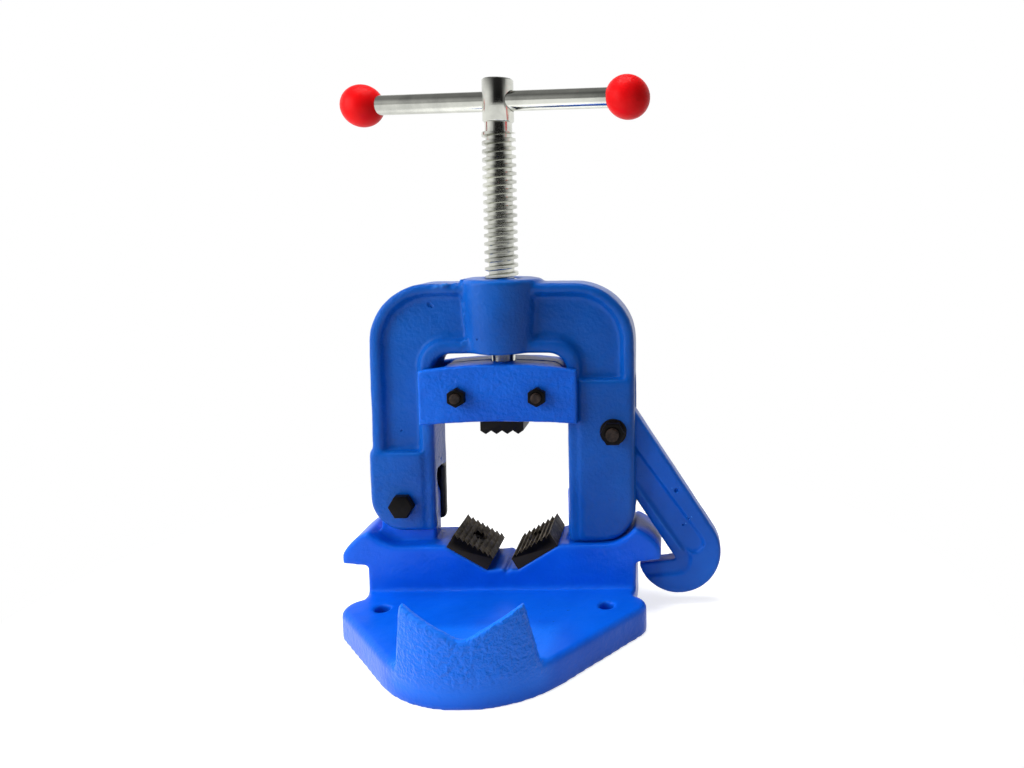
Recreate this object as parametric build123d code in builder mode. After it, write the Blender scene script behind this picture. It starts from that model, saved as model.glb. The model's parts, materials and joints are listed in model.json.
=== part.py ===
from build123d import *
from math import cos, radians, sin, sqrt, tan
import os

# Hinged yoke pipe vise, in millimetres.
# X runs to the right, Y to the rear and Z up. The origin is on the table, under the spindle's axis.

# Base plate: a rounded nose in front, two ears with the mounting holes, and a foot under the wall
plate_t = 16.5
nose_r = 60
nose_y = -54
ear_r = 12
ear_x = 75.5
ear_y = -37
foot_rear_y = 26
foot_corner_r = 10
plate_edge = 2
mount_hole_d = 9
mount_in = 11
mount_front = 2

# Pipe rest: a curved wall on the nose with a plain V, whose right flank is shorter
rest_wall = 4.5
rest_top = 49
rest_foot_half = 36
rest_horn_w = 1.6
rest_v_left = 31
rest_v_right = 27.6
rest_v_bottom = 35
rest_v_flat = 1.5

# Cross wall that carries the lower jaws, the lugs and the hook noses
wall_depth = 35
wall_half = 80.5
wall_edge = 1.2
hook_nose_len = 15.3
hook_nose_under = 32.2
hook_nose_rise = 1.6
hook_nose_face = 5.6
hook_nose_crown = 1.7
ridge_in = 0.3
ridge_h = 9.6
cradle_z = 43.6

# Lower jaws: flat toothed inserts screwed into a V bed
bed_angle = 31
bed_in_x = 9
bed_in_z = 28.5
gutter_drop = 3
gutter_in = 2.5
insert_len = 28
insert_t = 9.5
insert_w = 34
insert_start = 0.5
insert_gap = 0.05
insert_tooth_count = 8
insert_tooth_h = 1.8
insert_screw_d = 5
insert_screw_len = 14
insert_screw_head_d = 8.5
insert_screw_head_h = 3
insert_screw_key = 3
insert_screw_sunk = 2.6

# Yoke: an inverted U with an I section and a raised pad on each foot. Its right side is flush with the wall.
yoke_left_in = 3.5
leg_in = 40
yoke_depth = 28
yoke_top = 202
yoke_corner_r = 36
arch_z = 160
arch_r = 11
yoke_edge = 1.5
rim_out = 5.8
rim_in = 6.5
rim_top = 5
rim_arch = 6.8
web_pocket = 5
pocket_slope = 33
pocket_inner_r = 14
pad_rise = 1.2
pad_out = 2
pad_gap = 0.6
left_pad_rise = 32
right_pad_rise = 31.5
left_foot_rise = 8.4
left_foot_r = 21
left_toe_r = 2.5
right_foot_r = 20
right_toe_r = 3
seat_gap = 0.4
fork_slot = 14
lug_slot_gap = 2
right_slot_rise = 30.5
slot_floor_gap = 2.1
right_gate_gap = 7

# Boss for the spindle
boss_r = 24.5
boss_foot_r = 21.5
boss_rise = 2.5
boss_edge = 1.2

# Hinge at the left foot and pivot of the latch at the right leg
hinge_in = 21.5
hinge_z = 69
pivot_in = 12.9
pivot_z = 112.5
lug_t = 13
lug_r = 16.5
guide_lug_top = 79
guide_lug_proud = 1.4
guide_lug_w = 25.4
guide_lug_r = 6
pin_d = 8
pin_running = 0.075
pin_clearance = 0.2

# Latch: a hook that reaches under the right nose
latch_t = 13
latch_head_r = 16.5
latch_eye_out = 26.5
latch_eye_z = 33.1
latch_eye_r = 26
latch_inner = 13.4
latch_throat_z = 28.6
tongue_gap = 1.7
tongue_fall = 2.7
latch_edge = 1.2
latch_band_w = 9
latch_band_deep = 1.4
latch_groove_w = 12
latch_groove_out = 9
latch_groove_rise = 6.4
latch_groove_deep = 1.6

# Spindle: head, thread, neck and collar
thread_d = 20
thread_running = 0.08
thread_start = 4
head_d = 18.5
head_h = 25.5
head_bottom = 297.5
head_edge = 0.8
upper_neck_d = 16
upper_neck_h = 6
neck_d = 14
neck_running = 0.08
collar_d = 20
collar_h = 8
collar_axial = 0.2
collar_radial = 0.3

# Sliding handle
bar_d = 12
bar_hole_rise = 12.5
bar_hole_gap = 0.25
bar_turn = -12
bar_shift = -4.5
ball_d = 26
ball_centre = 84.5
ball_pin_d = 8
ball_pin_gap = 0.02
ball_skin = 4

# Crosshead: two halves that close around the collar and run on the legs
guide_lap = 6.6
guide_t = 6
guide_gap = 0.3
guide_edge = 0.8
core_gap = 2.6
core_corner_r = 8
crown_gap = 5.5
crosshead_h = 36.1
crosshead_end_drop = 3.5
crosshead_arch = 2
parting_gap = 0.6
clamp_x = 23.5
clamp_rise = 17.3
clamp_d = 6
clamp_clearance = 0.3

# Upper jaw: a toothed block held by its waist between the halves
jaw_half = 13
jaw_depth = 20
jaw_show = 8
jaw_sunk = 9.6
jaw_roof = 5
jaw_gap = 0.1
jaw_tooth_count = 4
jaw_tooth_h = 2.2
waist_rise = 3.6
waist_h = 3
waist_in = 2.5

# Hexagon fasteners, width across flats and height
m6_flats = 10
m6_head_h = 4
m6_nut_h = 5
m6_stud_end = 2
m8_flats = 13
m8_head_h = 5.3
m8_nut_h = 6.5
m8_stud_end = 2.2
washer_d = 16
washer_t = 1.6
thread_gap = 0.02
hex_chamfer = 0.5

# Length by which a cut runs past the metal
past = 1

os.makedirs("parts", exist_ok=True)

# Profiles seen from the front lie on this plane: its X is the vise's X, its Y is the vise's Z
front = Plane.XZ
wall_y = wall_depth / 2
yoke_y = yoke_depth / 2
pad_y = yoke_y + pad_rise
mount_x = ear_x - mount_in
mount_y = ear_y - mount_front
hook_nose_tip = wall_half + hook_nose_len
ridge_x = wall_half - ridge_in
ridge_top = cradle_z + ridge_h
yoke_left = wall_half - yoke_left_in
yoke_right = wall_half
hinge_x = hinge_in - wall_half
pivot_x = wall_half - pivot_in
left_foot_z = cradle_z + left_foot_rise
left_pad_top = hinge_z + left_pad_rise
right_pad_top = pivot_z + right_pad_rise
right_slot_top = pivot_z + right_slot_rise
right_slot_floor_x = pivot_x - latch_head_r - slot_floor_gap
boss_top = yoke_top + boss_rise
guide_lug_in = leg_in - guide_lug_proud
guide_lug_out = guide_lug_in + guide_lug_w
latch_eye_x = wall_half + latch_eye_out
latch_groove_x = latch_eye_x + latch_groove_out
latch_groove_z = latch_eye_z + latch_groove_rise
bar_hole_z = head_bottom + bar_hole_rise
guide_half = leg_in + guide_lap
core_half = leg_in - core_gap


def round_corners(sketch, corners):
    """Fillet the sketch's vertices nearest to the given points, each with its own radius."""
    for x, y, radius in corners:
        fillet(sketch.vertices().sort_by_distance((x, y, 0))[0], radius)


def hexagon(plane, centre, flats, height):
    """Return a hexagonal prism that stands on a plane, with its outer face's edges broken."""
    with BuildPart() as prism:
        with BuildSketch(plane):
            with Locations(centre):
                RegularPolygon(flats / 2, 6, major_radius=False)
        extrude(amount=height)
        outer = prism.faces().sort_by(Axis(plane.origin, plane.z_dir))[-1 if height > 0 else 0]
        chamfer(outer.edges(), hex_chamfer)
    return prism.part


def hex_bolt(plane, centre, diameter, flats, head_h, reach):
    """Build a bolt whose head stands on a plane and whose shank runs back through it."""
    with BuildPart() as bolt:
        add(hexagon(plane, centre, flats, head_h))
        with BuildSketch(plane):
            with Locations(centre):
                Circle(diameter / 2)
        extrude(amount=-reach)
    return bolt


def hex_nut(plane, centre, diameter, flats, height):
    """Build a nut that stands on a plane."""
    with BuildPart() as nut:
        add(hexagon(plane, centre, flats, height))
        with BuildSketch(plane):
            with Locations(centre):
                Circle(diameter / 2 + thread_gap)
        extrude(amount=height, mode=Mode.SUBTRACT)
    return nut


# Bed plane of the right lower jaw: X runs up the slope, Y stands square on it
slope = radians(bed_angle)
bed = Plane(origin=(bed_in_x, 0, bed_in_z), x_dir=(cos(slope), 0, sin(slope)), z_dir=(0, -1, 0))
insert_mid = insert_start + insert_len / 2
bed_mid = bed.from_local_coords((insert_mid, 0, 0))
bed_face = Plane(origin=bed_mid, x_dir=(0, 1, 0), z_dir=(-sin(slope), 0, cos(slope)))
insert_top = insert_gap + insert_t
screw_seat = insert_top - insert_screw_sunk - insert_screw_head_h

# Cross wall, drawn to the right of the middle and mirrored
right_foot_z = cradle_z + seat_gap
cradle_end_x = yoke_right - right_foot_r
nose_tip_z = hook_nose_under + hook_nose_rise
nose_face_z = nose_tip_z + hook_nose_face
bed_out_x = bed_in_x + (cradle_z - bed_in_z) / tan(slope)
gutter_x = bed_in_x - gutter_in
gutter_z = bed_in_z - gutter_drop
with BuildPart() as cross_wall:
    with BuildSketch(front):
        with BuildLine():
            Line((0, 0), (wall_half, 0))
            Line((wall_half, 0), (wall_half, hook_nose_under))
            Line((wall_half, hook_nose_under), (hook_nose_tip, nose_tip_z))
            Line((hook_nose_tip, nose_tip_z), (hook_nose_tip, nose_face_z))
            SagittaArc((hook_nose_tip, nose_face_z), (ridge_x, ridge_top), -hook_nose_crown)
            TangentArc((cradle_end_x, cradle_z), (ridge_x, ridge_top), tangent=(1, 0))
            Line((cradle_end_x, cradle_z), (bed_out_x, cradle_z))
            Line((bed_out_x, cradle_z), (bed_in_x, bed_in_z))
            Line((bed_in_x, bed_in_z), (gutter_x, gutter_z))
            Line((gutter_x, gutter_z), (0, gutter_z))
            Line((0, gutter_z), (0, 0))
        make_face()
    extrude(amount=wall_y, both=True)
    wall_faces = cross_wall.faces().filter_by(Axis.Y)
    nose_edges = wall_faces.edges().filter_by(
        lambda edge: edge.center().X > cradle_end_x and edge.center().Z > nose_tip_z
    )
    chamfer(nose_edges, wall_edge)
    with BuildSketch(bed_face):
        Circle(insert_screw_d / 2)
    extrude(amount=-insert_screw_len, mode=Mode.SUBTRACT)
    mirror(about=Plane.YZ)

# Pipe rest, cut from a tube on the nose
with BuildPart() as pipe_rest:
    with BuildSketch():
        with Locations((0, nose_y)):
            Circle(nose_r)
            Circle(nose_r - rest_wall, mode=Mode.SUBTRACT)
    extrude(amount=rest_top)
    with BuildSketch(front.offset(-nose_y)):
        with BuildLine():
            Polyline(
                (-rest_foot_half, 0),
                (-rest_foot_half, plate_t),
                (-rest_v_left - rest_horn_w, rest_top),
                (-rest_v_left, rest_top),
                (-rest_v_flat, rest_v_bottom),
                (rest_v_flat, rest_v_bottom),
                (rest_v_right, rest_top),
                (rest_v_right + rest_horn_w, rest_top),
                (rest_foot_half, plate_t),
                (rest_foot_half, 0),
                close=True,
            )
        make_face()
    extrude(amount=2 * nose_r, mode=Mode.INTERSECT)

# Hinge lug on the left and guide lug on the right, both in the middle of the wall
with BuildPart() as lugs:
    with BuildSketch(front):
        with Locations((hinge_x, hinge_z)):
            Circle(lug_r)
        with Locations((hinge_x, hinge_z / 2)):
            Rectangle(2 * lug_r, hinge_z)
    extrude(amount=lug_t / 2, both=True)
    with BuildSketch(front) as guide_lug_face:
        with BuildLine():
            Polyline(
                (guide_lug_in, 0),
                (guide_lug_out, 0),
                (guide_lug_out, guide_lug_top),
                (guide_lug_in, guide_lug_top),
                close=True,
            )
        make_face()
        round_corners(
            guide_lug_face,
            (
                (guide_lug_in, guide_lug_top, guide_lug_r),
                (guide_lug_out, guide_lug_top, guide_lug_r),
            ),
        )
    extrude(amount=lug_t / 2, both=True)

with BuildPart() as base:
    with BuildSketch():
        with Locations((0, nose_y)):
            Circle(nose_r)
        with Locations((-ear_x, ear_y), (ear_x, ear_y)):
            Circle(ear_r)
        make_hull()
    extrude(amount=plate_t)
    with BuildSketch() as foot_outline:
        with BuildLine():
            Polyline(
                (-wall_half, ear_y),
                (-wall_half, foot_rear_y),
                (wall_half, foot_rear_y),
                (wall_half, ear_y),
                close=True,
            )
        make_face()
        round_corners(
            foot_outline,
            ((-wall_half, foot_rear_y, foot_corner_r), (wall_half, foot_rear_y, foot_corner_r)),
        )
    extrude(amount=plate_t)
    chamfer(base.faces().sort_by(Axis.Z)[-1].edges(), plate_edge)
    add(cross_wall.part)
    add(pipe_rest.part)
    add(lugs.part)
    with Locations((-mount_x, mount_y, plate_t), (mount_x, mount_y, plate_t)):
        Hole(mount_hole_d / 2)
    with BuildSketch(front):
        with Locations((hinge_x, hinge_z)):
            Circle(pin_d / 2 + pin_running)
    extrude(amount=lug_t, both=True, mode=Mode.SUBTRACT)
base.part.label = "base"
export_step(base.part, "parts/base.step")

# Lower jaws
insert_pitch = insert_len / insert_tooth_count
with BuildPart() as lower_jaw_right:
    with BuildSketch(bed):
        with Locations((insert_mid, insert_gap + insert_t / 2)):
            Rectangle(insert_len, insert_t)
        for tooth in range(insert_tooth_count):
            start = insert_start + tooth * insert_pitch
            with BuildLine():
                Polyline(
                    (start, insert_top + past),
                    (start, insert_top - insert_tooth_h),
                    (start + insert_pitch, insert_top),
                    (start + insert_pitch, insert_top + past),
                    close=True,
                )
            make_face(mode=Mode.SUBTRACT)
    extrude(amount=insert_w / 2, both=True)
    with BuildSketch(bed_face):
        Circle(insert_screw_d / 2 + clamp_clearance)
    extrude(amount=insert_top + past, mode=Mode.SUBTRACT)
    with BuildSketch(bed_face.offset(screw_seat)):
        Circle(insert_screw_head_d / 2 + clamp_clearance)
    extrude(amount=insert_t, mode=Mode.SUBTRACT)
lower_jaw_right.part.label = "lower_jaw_right"
export_step(lower_jaw_right.part, "parts/lower_jaw_right.step")

with BuildPart() as lower_jaw_left:
    mirror(lower_jaw_right.part, about=Plane.YZ)
lower_jaw_left.part.label = "lower_jaw_left"
export_step(lower_jaw_left.part, "parts/lower_jaw_left.step")

with BuildPart() as lower_jaw_screws:
    with BuildSketch(bed_face.offset(screw_seat)):
        Circle(insert_screw_d / 2)
    extrude(amount=-insert_screw_len)
    with BuildSketch(bed_face.offset(screw_seat)):
        Circle(insert_screw_head_d / 2)
    extrude(amount=insert_screw_head_h)
    with BuildSketch(bed_face.offset(screw_seat + insert_screw_head_h)):
        RegularPolygon(insert_screw_key / 2, 6, major_radius=False)
    extrude(amount=-insert_screw_head_h / 2, mode=Mode.SUBTRACT)
    mirror(about=Plane.YZ)
lower_jaw_screws.part.label = "lower_jaw_screws"
export_step(lower_jaw_screws.part, "parts/lower_jaw_screws.step")

# Outline of the yoke from the front. The left foot's pad stands out past the leg.
left_pad_x = yoke_left + pad_out
with BuildSketch(front) as yoke_face:
    with BuildLine():
        Polyline(
            (-left_pad_x, left_foot_z),
            (-left_pad_x, left_pad_top),
            (-yoke_left, left_pad_top + pad_out),
            (-yoke_left, yoke_top),
            (yoke_right, yoke_top),
            (yoke_right, right_foot_z),
            (leg_in, right_foot_z),
            (leg_in, arch_z),
            (-leg_in, arch_z),
            (-leg_in, left_foot_z),
            close=True,
        )
    make_face()
    round_corners(
        yoke_face,
        (
            (-yoke_left, yoke_top, yoke_corner_r),
            (yoke_right, yoke_top, yoke_corner_r),
            (-leg_in, arch_z, arch_r),
            (leg_in, arch_z, arch_r),
            (-left_pad_x, left_foot_z, left_foot_r),
            (-leg_in, left_foot_z, left_toe_r),
            (yoke_right, right_foot_z, right_foot_r),
            (leg_in, right_foot_z, right_toe_r),
        ),
    )

# Pockets with sloping walls that leave the yoke's web between its rims. They reach under the pads.
pocket_in = leg_in + rim_in
pocket_top = yoke_top - rim_top
pocket_under = arch_z + rim_arch
pocket_end = boss_foot_r / 2
pocket_outer_r = yoke_corner_r - (rim_out + rim_top) / 2
with BuildPart() as web_pockets:
    for side, leg_out, pad_top in ((-1, yoke_left, left_pad_top), (1, yoke_right, right_pad_top)):
        pocket_out = leg_out - rim_out
        pocket_foot = pad_top - 2 * web_pocket
        inner_r = min(pocket_inner_r, (pocket_under - pocket_foot) / 2)
        with BuildSketch(front.offset(yoke_y)) as pocket_face:
            with BuildLine():
                Polyline(
                    (side * pocket_out, pocket_foot),
                    (side * pocket_out, pocket_top),
                    (side * pocket_end, pocket_top),
                    (side * pocket_end, pocket_under),
                    (side * pocket_in, pocket_under),
                    (side * pocket_in, pocket_foot),
                    close=True,
                )
            make_face()
            round_corners(
                pocket_face,
                (
                    (side * pocket_out, pocket_top, pocket_outer_r),
                    (side * pocket_in, pocket_under, inner_r),
                ),
            )
        extrude(amount=-web_pocket, taper=pocket_slope)
    mirror(about=Plane.XZ)

# Raised pads on the feet, which end the pockets with a step
pad_in = guide_half + pad_gap
with BuildPart() as pads:
    with BuildSketch(front.offset(yoke_y - web_pocket)):
        for side, pad_top in ((-1, left_pad_top), (1, right_pad_top)):
            with Locations((side * (pad_in + left_pad_x) / 2, pad_top / 2)):
                Rectangle(left_pad_x - pad_in, pad_top)
        with BuildSketch(mode=Mode.INTERSECT):
            add(yoke_face.sketch_local)
            offset(amount=-yoke_edge, kind=Kind.INTERSECTION)
    extrude(amount=web_pocket + pad_rise)
    mirror(about=Plane.XZ)

# Boss, slightly wider at the top
with BuildPart() as boss:
    with Locations((0, 0, (arch_z + boss_top) / 2)):
        Cone(boss_foot_r, boss_r, boss_top - arch_z)
    chamfer(boss.faces().sort_by(Axis.Z)[-1].edges(), boss_edge)

with BuildPart() as yoke:
    extrude(yoke_face.sketch, amount=yoke_y, both=True)
    chamfer(yoke.faces().filter_by(Axis.Y).edges(), yoke_edge)
    add(web_pockets.part, mode=Mode.SUBTRACT)
    add(pads.part)
    add(boss.part)
    with Locations((0, 0, boss_top)):
        Hole(thread_d / 2 + thread_running)
    with BuildSketch(front):
        with Locations((hinge_x, hinge_z), (pivot_x, pivot_z)):
            Circle(pin_d / 2 + pin_clearance)
    extrude(amount=yoke_depth, both=True, mode=Mode.SUBTRACT)
    left_slot_top = hinge_z + lug_r + lug_slot_gap
    right_gate_top = guide_lug_top + right_gate_gap
    with BuildSketch(front):
        with BuildLine():
            Polyline(
                (-left_pad_x - past, left_foot_z - past),
                (-left_pad_x - past, left_slot_top),
                (-leg_in + past, left_slot_top),
                (-leg_in + past, left_foot_z - past),
                close=True,
            )
        make_face()
        with BuildLine():
            Polyline(
                (leg_in - past, right_foot_z - past),
                (leg_in - past, right_gate_top),
                (right_slot_floor_x, right_gate_top),
                (right_slot_floor_x, right_slot_top),
                (yoke_right + past, right_slot_top),
                (yoke_right + past, right_foot_z - past),
                close=True,
            )
        make_face()
    extrude(amount=fork_slot / 2, both=True, mode=Mode.SUBTRACT)
yoke.part.label = "yoke"
export_step(yoke.part, "parts/yoke.step")

# Latch: its inner edge runs past the pivot at a fixed distance, then turns into the tongue
arm_x = latch_eye_x - pivot_x
arm_z = latch_eye_z - pivot_z
arm_len = sqrt(arm_x**2 + arm_z**2)
lean = (latch_eye_r - latch_head_r) / arm_len
square = sqrt(1 - lean**2)
edge_x = (arm_x * square - arm_z * lean) / arm_len
edge_z = (arm_z * square + arm_x * lean) / arm_len
inner_x = pivot_x + latch_inner * edge_z
inner_z = pivot_z - latch_inner * edge_x
throat_run = (latch_throat_z - inner_z) / edge_z
throat_x = inner_x + throat_run * edge_x
tongue_tip_x = wall_half + tongue_gap
tongue_tip_z = latch_throat_z - tongue_fall
groove_ends = (
    (pivot_x + latch_head_r / 2, pivot_z - latch_head_r),
    (latch_groove_x, latch_groove_z),
)
with BuildPart() as latch:
    with BuildSketch(front) as latch_face:
        with Locations((pivot_x, pivot_z)):
            Circle(latch_head_r)
        with Locations((latch_eye_x, latch_eye_z)):
            Circle(latch_eye_r)
        make_hull()
        with BuildLine():
            Polyline(
                (inner_x, inner_z),
                (throat_x, latch_throat_z),
                (tongue_tip_x, tongue_tip_z),
                (tongue_tip_x, 0),
                (pivot_x - latch_head_r, 0),
                (pivot_x - 2 * latch_head_r, inner_z),
                close=True,
            )
        make_face(mode=Mode.SUBTRACT)
    extrude(amount=latch_t / 2, both=True)
    latch_edges = latch.faces().filter_by(Axis.Y).edges()
    chamfer(latch_edges.filter_by(lambda edge: edge.center().X > throat_x), latch_edge)
    with BuildSketch(front.offset(latch_t / 2 - latch_band_deep)):
        with BuildLine():
            Polyline(
                (inner_x, inner_z),
                (throat_x, latch_throat_z),
                (tongue_tip_x - latch_head_r, tongue_tip_z),
                close=True,
            )
        make_face()
        offset(amount=latch_band_w)
        with Locations((pivot_x, pivot_z)):
            Circle(latch_head_r, mode=Mode.SUBTRACT)
    extrude(amount=latch_band_deep + past, mode=Mode.SUBTRACT)
    with BuildSketch(front.offset(latch_t / 2 - latch_groove_deep)):
        with Locations(*groove_ends):
            Circle(latch_groove_w / 2)
        make_hull()
    extrude(amount=latch_groove_deep + past, mode=Mode.SUBTRACT)
    with BuildSketch(front):
        with Locations((pivot_x, pivot_z)):
            Circle(pin_d / 2 + pin_running)
    extrude(amount=latch_t, both=True, mode=Mode.SUBTRACT)
latch.part.label = "latch"
export_step(latch.part, "parts/latch.step")

# Hinge bolt with its head in front, latch bolt with its head behind
hinge_at = (hinge_x, hinge_z)
pivot_at = (pivot_x, pivot_z)
pad_front = front.offset(pad_y)
pad_rear = front.offset(-pad_y)
washer_rear = front.offset(-pad_y - washer_t)
m8_reach = 2 * pad_y + washer_t + m8_nut_h + m8_stud_end

hinge_bolt = hex_bolt(pad_front, hinge_at, pin_d, m8_flats, m8_head_h, m8_reach)
hinge_bolt.part.label = "hinge_bolt"
export_step(hinge_bolt.part, "parts/hinge_bolt.step")

hinge_nut = hex_nut(washer_rear, hinge_at, pin_d, m8_flats, -m8_nut_h)
hinge_nut.part.label = "hinge_nut"
export_step(hinge_nut.part, "parts/hinge_nut.step")

latch_bolt = hex_bolt(washer_rear, pivot_at, pin_d, m8_flats, -m8_head_h, -m8_reach)
latch_bolt.part.label = "latch_bolt"
export_step(latch_bolt.part, "parts/latch_bolt.step")

latch_nut = hex_nut(pad_front, pivot_at, pin_d, m8_flats, m8_nut_h)
latch_nut.part.label = "latch_nut"
export_step(latch_nut.part, "parts/latch_nut.step")

for name, centre in (("hinge_washer", hinge_at), ("latch_washer", pivot_at)):
    with BuildPart() as washer:
        with BuildSketch(pad_rear):
            with Locations(centre):
                Circle(washer_d / 2)
                Circle(pin_d / 2 + pin_clearance, mode=Mode.SUBTRACT)
        extrude(amount=-washer_t)
    washer.part.label = name
    export_step(washer.part, f"parts/{name}.step")

# Heights in the crosshead, from its bottom up: jaw, collar and crown
crosshead_crown = arch_z - crown_gap
crosshead_bottom = crosshead_crown - crosshead_h
jaw_top = crosshead_bottom + jaw_sunk
collar_bottom = jaw_top + jaw_roof
collar_top = collar_bottom + collar_h
thread_end_z = arch_z + thread_start

# Spindle, turned as one piece, and the handle that slides through its head
bar_dir = (cos(radians(bar_turn)), sin(radians(bar_turn)), 0)
head_top = head_bottom + head_h
with BuildPart() as spindle:
    with BuildSketch(front):
        with BuildLine():
            Polyline(
                (0, collar_bottom),
                (collar_d / 2, collar_bottom),
                (collar_d / 2, collar_top),
                (neck_d / 2, collar_top),
                (neck_d / 2, thread_end_z),
                (thread_d / 2, thread_end_z),
                (thread_d / 2, head_bottom - upper_neck_h),
                (upper_neck_d / 2, head_bottom - upper_neck_h),
                (upper_neck_d / 2, head_bottom),
                (head_d / 2 - head_edge, head_bottom),
                (head_d / 2, head_bottom + head_edge),
                (head_d / 2, head_top - head_edge),
                (head_d / 2 - head_edge, head_top),
                (0, head_top),
                close=True,
            )
        make_face()
    revolve(axis=Axis.Z)
    with BuildSketch(Plane(origin=(0, 0, bar_hole_z), z_dir=bar_dir)):
        Circle(bar_d / 2 + bar_hole_gap)
    extrude(amount=head_d, both=True, mode=Mode.SUBTRACT)
spindle.part.label = "spindle"
export_step(spindle.part, "parts/spindle.step")

bar_mid = Plane(origin=(bar_shift * bar_dir[0], bar_shift * bar_dir[1], bar_hole_z), z_dir=bar_dir)
ball_flat = sqrt((ball_d / 2) ** 2 - (bar_d / 2) ** 2)
bar_half = ball_centre - ball_flat
ball_pin_half = ball_centre + ball_d / 2 - ball_skin
ball_hole_r = ball_pin_d / 2 + ball_pin_gap
ball_hole_end = ball_d / 2 - ball_skin + ball_pin_gap
with BuildPart() as handle_bar:
    with BuildSketch(bar_mid):
        Circle(bar_d / 2)
    extrude(amount=bar_half, both=True)
    with BuildSketch(bar_mid):
        Circle(ball_pin_d / 2)
    extrude(amount=ball_pin_half, both=True)
handle_bar.part.label = "handle_bar"
export_step(handle_bar.part, "parts/handle_bar.step")

with BuildPart() as handle_balls:
    for side in (-1, 1):
        ball_at = bar_mid.from_local_coords((0, 0, side * ball_centre))
        ball_plane = Plane(origin=ball_at, x_dir=tuple(side * part for part in bar_dir), z_dir=(0, 0, 1))
        with BuildSketch(ball_plane):
            with BuildLine():
                Line((-ball_flat, ball_hole_r), (-ball_flat, bar_d / 2))
                ThreePointArc((-ball_flat, bar_d / 2), (0, ball_d / 2), (ball_d / 2, 0))
                Line((ball_d / 2, 0), (ball_hole_end, 0))
                Line((ball_hole_end, 0), (ball_hole_end, ball_hole_r))
                Line((ball_hole_end, ball_hole_r), (-ball_flat, ball_hole_r))
            make_face()
        revolve(axis=Axis(ball_plane.origin, ball_plane.x_dir))
handle_balls.part.label = "handle_balls"
export_step(handle_balls.part, "parts/handle_balls.step")

# Crosshead halves, both drawn from the arched outline of the guide plate
guide_in = yoke_y + guide_gap
guide_out = guide_in + guide_t
clamp_z = crosshead_bottom + clamp_rise
clamps_at = ((-clamp_x, clamp_z), (clamp_x, clamp_z))
waist_low = crosshead_bottom + waist_rise
waist_high = waist_low + waist_h
end_top = crosshead_crown - crosshead_end_drop
arch_middle = crosshead_bottom + crosshead_arch
with BuildSketch(front) as guide_face:
    with BuildLine():
        Line((-guide_half, end_top), (-guide_half, crosshead_bottom))
        ThreePointArc((-guide_half, crosshead_bottom), (0, arch_middle), (guide_half, crosshead_bottom))
        Line((guide_half, crosshead_bottom), (guide_half, end_top))
        ThreePointArc((guide_half, end_top), (0, crosshead_crown), (-guide_half, end_top))
    make_face()

with BuildPart() as crosshead_front:
    with BuildSketch(front.offset(parting_gap / 2)) as core_face:
        add(guide_face.sketch_local)
        with Locations((0, crosshead_bottom + crosshead_h / 2)):
            Rectangle(2 * core_half, crosshead_h, mode=Mode.INTERSECT)
        round_corners(
            core_face,
            ((-core_half, crosshead_crown, core_corner_r), (core_half, crosshead_crown, core_corner_r)),
        )
    extrude(amount=guide_in - parting_gap / 2)
    with BuildSketch(front.offset(guide_in)):
        add(guide_face.sketch_local)
    extrude(amount=guide_t)
    chamfer(crosshead_front.faces().sort_by(Axis.Y)[0].edges(), guide_edge)
    with Locations((0, 0, crosshead_crown)):
        Hole(neck_d / 2 + neck_running)
    with BuildSketch(Plane.XY.offset(collar_bottom - collar_axial)):
        Circle(collar_d / 2 + collar_radial)
    extrude(amount=collar_h + 2 * collar_axial, mode=Mode.SUBTRACT)
    with BuildSketch(front):
        with Locations(*clamps_at):
            Circle(clamp_d / 2 + clamp_clearance)
    extrude(amount=guide_out + past, mode=Mode.SUBTRACT)
    for low, high, half in (
        (crosshead_bottom - past, waist_low + jaw_gap, jaw_depth / 2 + jaw_gap),
        (waist_low, waist_high, jaw_depth / 2 - waist_in + jaw_gap),
        (waist_high - jaw_gap, jaw_top + jaw_gap, jaw_depth / 2 + jaw_gap),
    ):
        with BuildSketch(Plane.XY.offset(low)):
            Rectangle(2 * (jaw_half + jaw_gap), 2 * half)
        extrude(amount=high - low, mode=Mode.SUBTRACT)
crosshead_front.part.label = "crosshead_front"
export_step(crosshead_front.part, "parts/crosshead_front.step")

with BuildPart() as crosshead_rear:
    mirror(crosshead_front.part, about=Plane.XZ)
crosshead_rear.part.label = "crosshead_rear"
export_step(crosshead_rear.part, "parts/crosshead_rear.step")

# Clamp bolts from the rear, with their nuts in front
clamp_reach = 2 * guide_out + m6_nut_h + m6_stud_end
with BuildPart() as crosshead_bolts:
    for centre in clamps_at:
        add(hex_bolt(front.offset(-guide_out), centre, clamp_d, m6_flats, -m6_head_h, -clamp_reach).part)
crosshead_bolts.part.label = "crosshead_bolts"
export_step(crosshead_bolts.part, "parts/crosshead_bolts.step")

with BuildPart() as crosshead_nuts:
    for centre in clamps_at:
        add(hex_nut(front.offset(guide_out), centre, clamp_d, m6_flats, m6_nut_h).part)
crosshead_nuts.part.label = "crosshead_nuts"
export_step(crosshead_nuts.part, "parts/crosshead_nuts.step")

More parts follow.
